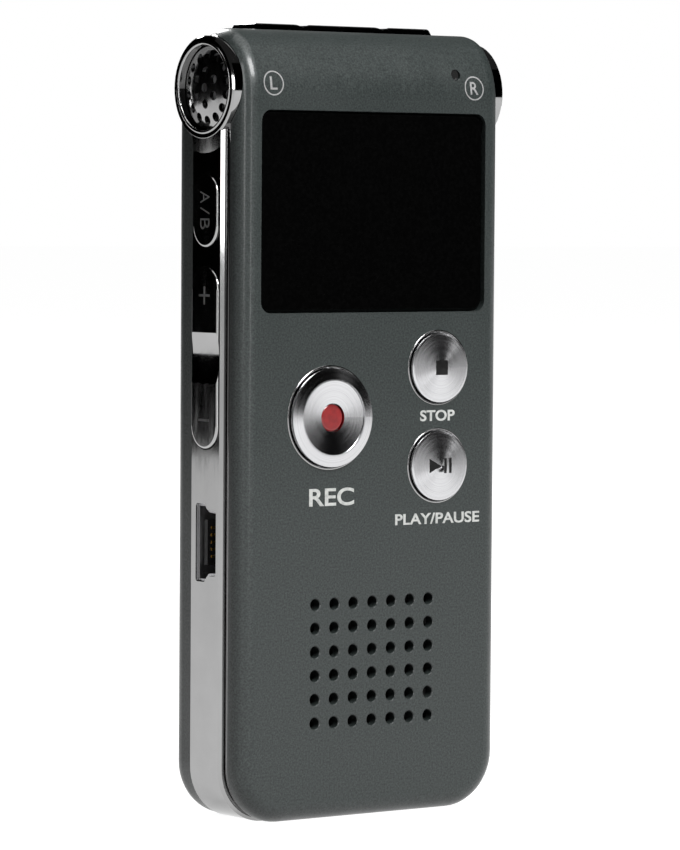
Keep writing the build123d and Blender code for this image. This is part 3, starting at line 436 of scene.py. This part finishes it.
def text_mesh(name, words, width, height, bold=0.0):
    """Letters as a thin mesh in the XY plane, centred and fitted to a width and height."""
    curve = bpy.data.curves.new(name, "FONT")
    curve.body = words
    curve.size = 1.0
    curve.offset = bold
    curve.extrude = LETTER_EXTRUDE
    probe = link(bpy.data.objects.new(name, curve))
    bpy.context.view_layer.update()
    graph = bpy.context.evaluated_depsgraph_get()
    mesh = bpy.data.meshes.new_from_object(probe.evaluated_get(graph))
    bpy.data.objects.remove(probe)
    xs = [v.co.x for v in mesh.vertices]
    ys = [v.co.y for v in mesh.vertices]
    middle = Vector(((max(xs) + min(xs)) / 2, (max(ys) + min(ys)) / 2, 0))
    mesh.transform(Matrix.Translation(-middle))
    mesh.transform(Matrix.Diagonal((width / (max(xs) - min(xs)), height / (max(ys) - min(ys)),
                                    INK_THICK / (2 * LETTER_EXTRUDE), 1)))
    mesh.name = name
    return mesh


def add_mark(name, mesh, placing, body, material):
    mesh.transform(placing)
    piece = link(bpy.data.objects.new(name, mesh))
    piece.data.materials.clear()
    piece.data.materials.append(material)
    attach(piece, body)
    return piece


def ring_mesh(name, radius, width, segments=64):
    """Flat ring of printed ink in the XY plane."""
    mesh = bpy.data.meshes.new(name)
    made = bmesh.new()
    loops = []
    half = INK_THICK / 2
    for r, z in ((radius - width, -half), (radius, -half), (radius, half), (radius - width, half)):
        loops.append([made.verts.new((r * math.cos(2 * math.pi * i / segments),
                                      r * math.sin(2 * math.pi * i / segments), z))
                      for i in range(segments)])
    for a in range(4):
        b = (a + 1) % 4
        for i in range(segments):
            j = (i + 1) % segments
            made.faces.new((loops[a][i], loops[a][j], loops[b][j], loops[b][i]))
    bmesh.ops.recalc_face_normals(made, faces=made.faces)
    made.to_mesh(mesh)
    made.free()
    return mesh


def on_front(x, z):
    """Placing for a mark printed on the front cover; z is from the cover's lower edge."""
    y = FRONT_Y - INK_THICK / 2
    return Matrix.Translation((x, y, CASE_LOW_Z + z)) @ RIGHT_SIDE_UP


ROLL_START_Z = 80.5 * MM        # from the covers' lower edge; above this the front rolls back
ROLL_RADIUS = 9.3 * MM
MARK_Z = 81.9 * MM              # middle of the ringed letters, from the covers' lower edge
MARK_X = 14.05 * MM
MARK_RADIUS = 1.37 * MM
MARK_LINE = 0.15 * MM
MARK_LETTER_HEIGHT = 1.45 * MM


def lay_on_roll(piece):
    """Bend a mark back with the front cover's rolled top."""
    made = bmesh.new()
    made.from_mesh(piece.data)
    bmesh.ops.subdivide_edges(made, edges=made.edges[:], cuts=2)
    made.to_mesh(piece.data)
    made.free()
    for vert in piece.data.vertices:
        above = max(0.0, vert.co.z - CASE_LOW_Z - ROLL_START_Z)
        vert.co.y += ROLL_RADIUS - math.sqrt(ROLL_RADIUS ** 2 - above ** 2)


def front_legends():
    # name, words, middle x and z, width and height in mm, and how much bolder the strokes are
    words = (("legend_rec", "REC", -5.82, 36.1, 6.24, 2.0, 0.018),
             ("legend_stop", "STOP", 9.03, 44.87, 4.94, 1.25, 0.026),
             ("legend_play", "PLAY/PAUSE", 9.15, 33.23, 12.08, 1.26, 0.022))
    for name, text, x, z, width, height, bold in words:
        mesh = text_mesh(name, text, width * MM, height * MM, bold)
        add_mark(name, mesh, on_front(x * MM, z * MM), "case", WHITE_INK)
    for side, letter, width in ((-1, "L", 0.95), (1, "R", 1.15)):
        name = "mark_" + letter
        placing = on_front(side * MARK_X, MARK_Z)
        ring = add_mark(name + "_ring", ring_mesh(name + "_ring", MARK_RADIUS, MARK_LINE),
                        placing, "case", GREY_INK)
        mesh = text_mesh(name + "_letter", letter, width * MM, MARK_LETTER_HEIGHT, 0.01)
        mark = add_mark(name + "_letter", mesh, placing, "case", GREY_INK)
        lay_on_roll(ring)
        lay_on_roll(mark)


# ---- marks on the keys ---------------------------------------------------
def key_centre(node):
    low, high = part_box(node)
    return (low.x + high.x) / 2, (low.z + high.z) / 2, low.y


KEY_CROWN = 0.35 * MM           # height of a small key's cone
KEY_RIM = 0.75 * MM             # width of the flange and broken edge outside the cone
SQUARE_SIDE = 1.65 * MM
TRIANGLE = [(-1.6 * MM, -0.8 * MM), (-0.1 * MM, 0.0), (-1.6 * MM, 0.8 * MM)]
BAR_PLACES = (0.6 * MM, 1.35 * MM)
BAR_WIDTH = 0.34 * MM
BAR_HEIGHT = 1.7 * MM


def cone_drop(node):
    """How far a small key's face falls back per metre out from its middle."""
    low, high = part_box(node)
    flange = (high.x - low.x) / 2
    return KEY_CROWN / (flange - KEY_RIM)


def draped_mark(name, node, body, outline_sets):
    """Black inlay of flat shapes that follow the low cone of a key's face."""
    x0, z0, top = key_centre(node)
    fall = cone_drop(node)
    made = bmesh.new()
    for outline in outline_sets:
        made.faces.new([made.verts.new((x, 0, z)) for x, z in outline])
    bmesh.ops.triangulate(made, faces=made.faces[:])
    bmesh.ops.subdivide_edges(made, edges=made.edges[:], cuts=5, use_grid_fill=True)
    for vert in made.verts:
        away = math.hypot(vert.co.x, vert.co.z)
        vert.co = Vector((x0 + vert.co.x, top + fall * away - INK_THICK, z0 + vert.co.z))
    bmesh.ops.recalc_face_normals(made, faces=made.faces)
    mesh = bpy.data.meshes.new(name)
    made.to_mesh(mesh)
    made.free()
    piece = link(bpy.data.objects.new(name, mesh))
    thicken = piece.modifiers.new("thickness", "SOLIDIFY")
    thicken.thickness = 1.5 * INK_THICK
    thicken.offset = 0
    piece.data.materials.append(BLACK_INK)
    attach(piece, body)


def rectangle(x, z, width, height):
    return [(x - width / 2, z - height / 2), (x + width / 2, z - height / 2),
            (x + width / 2, z + height / 2), (x - width / 2, z + height / 2)]


def key_symbols():
    draped_mark("stop_square", "stop_button", "stop_key",
                [rectangle(0, 0, SQUARE_SIDE, SQUARE_SIDE)])
    bars = [rectangle(x, 0, BAR_WIDTH, BAR_HEIGHT) for x in BAR_PLACES]
    draped_mark("play_pause_symbols", "play_pause_button", "play_pause_key", [TRIANGLE] + bars)


# ---- marks on the left side keys -----------------------------------------
SIDE_LETTER_THINNING = -0.012
# Seen from the left, local x runs down the case and local y towards the front.
READ_DOWNWARDS = Matrix(((0, 0, -1), (0, -1, 0), (-1, 0, 0))).to_4x4()


def on_left_key(node, z):
    """Placing for a mark on the outer face of a left side key."""
    low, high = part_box(node)
    middle = (low.y + high.y) / 2
    return Matrix.Translation((low.x - INK_THICK / 2, middle, CASE_LOW_Z + z)) @ READ_DOWNWARDS


def side_key_marks():
    # name, key, body, sign, height up the case, and the sign's width and height in mm
    marks = (("ab_mark_a", "ab_button", "ab_key", "A", 69.35, 1.3, 1.7),
             ("ab_mark_slash", "ab_button", "ab_key", "/", 67.85, 0.8, 1.7),
             ("ab_mark_b", "ab_button", "ab_key", "B", 66.4, 1.2, 1.7),
             ("volume_mark_more", "volume_rocker", "volume_key", "+", 58.5, 2.0, 2.0),
             ("volume_mark_less", "volume_rocker", "volume_key", "|", 44.7, 0.25, 1.9))
    for name, node, body, text, z, long, tall in marks:
        mesh = text_mesh(name, text, long * MM, tall * MM, SIDE_LETTER_THINNING)
        add_mark(name, mesh, on_left_key(node, z * MM), body, GREY_INK)


# ---- USB contacts --------------------------------------------------------
CONTACTS = 5
CONTACT_PITCH = 0.8 * MM
CONTACT_HALF_WIDTH = 0.17 * MM
CONTACT_FRONT_SETBACK = 0.4 * MM
CONTACT_REAR_SETBACK = 1.2 * MM
CONTACT_PROUD = 0.02 * MM       # above the tongue's face
CONTACT_SUNK = 0.03 * MM        # below it
CONTACT_BEVEL = 0.04 * MM / 3


def contact_strips():
    """Gold faces on the tongue's contacts, kept inside the socket."""
    low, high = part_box("usb_tongue")
    middle = (low.z + high.z) / 2
    for i in range(CONTACTS):
        z = middle + (i - CONTACTS // 2) * CONTACT_PITCH
        corners = [Vector((low.x + CONTACT_FRONT_SETBACK, low.y - CONTACT_PROUD,
                           z - CONTACT_HALF_WIDTH)),
                   Vector((high.x - CONTACT_REAR_SETBACK, low.y + CONTACT_SUNK,
                           z + CONTACT_HALF_WIDTH))]
        solid_piece("usb_contact_" + str(i + 1), corners, GOLD)


def solid_piece(name, corners, material):
    """Small softened block between two corners, fixed to the case."""
    low, high = corners
    made = bmesh.new()
    bmesh.ops.create_cube(made, size=1.0)
    bmesh.ops.scale(made, vec=high - low, verts=made.verts)
    bmesh.ops.translate(made, vec=(low + high) / 2, verts=made.verts)
    bmesh.ops.bevel(made, geom=made.edges[:], offset=CONTACT_BEVEL, segments=2, affect="EDGES")
    mesh = bpy.data.meshes.new(name)
    made.to_mesh(mesh)
    made.free()
    piece = link(bpy.data.objects.new(name, mesh))
    piece.data.materials.append(material)
    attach(piece, "case")


make_studio()
paint_nodes()
front_legends()
key_symbols()
side_key_marks()
contact_strips()
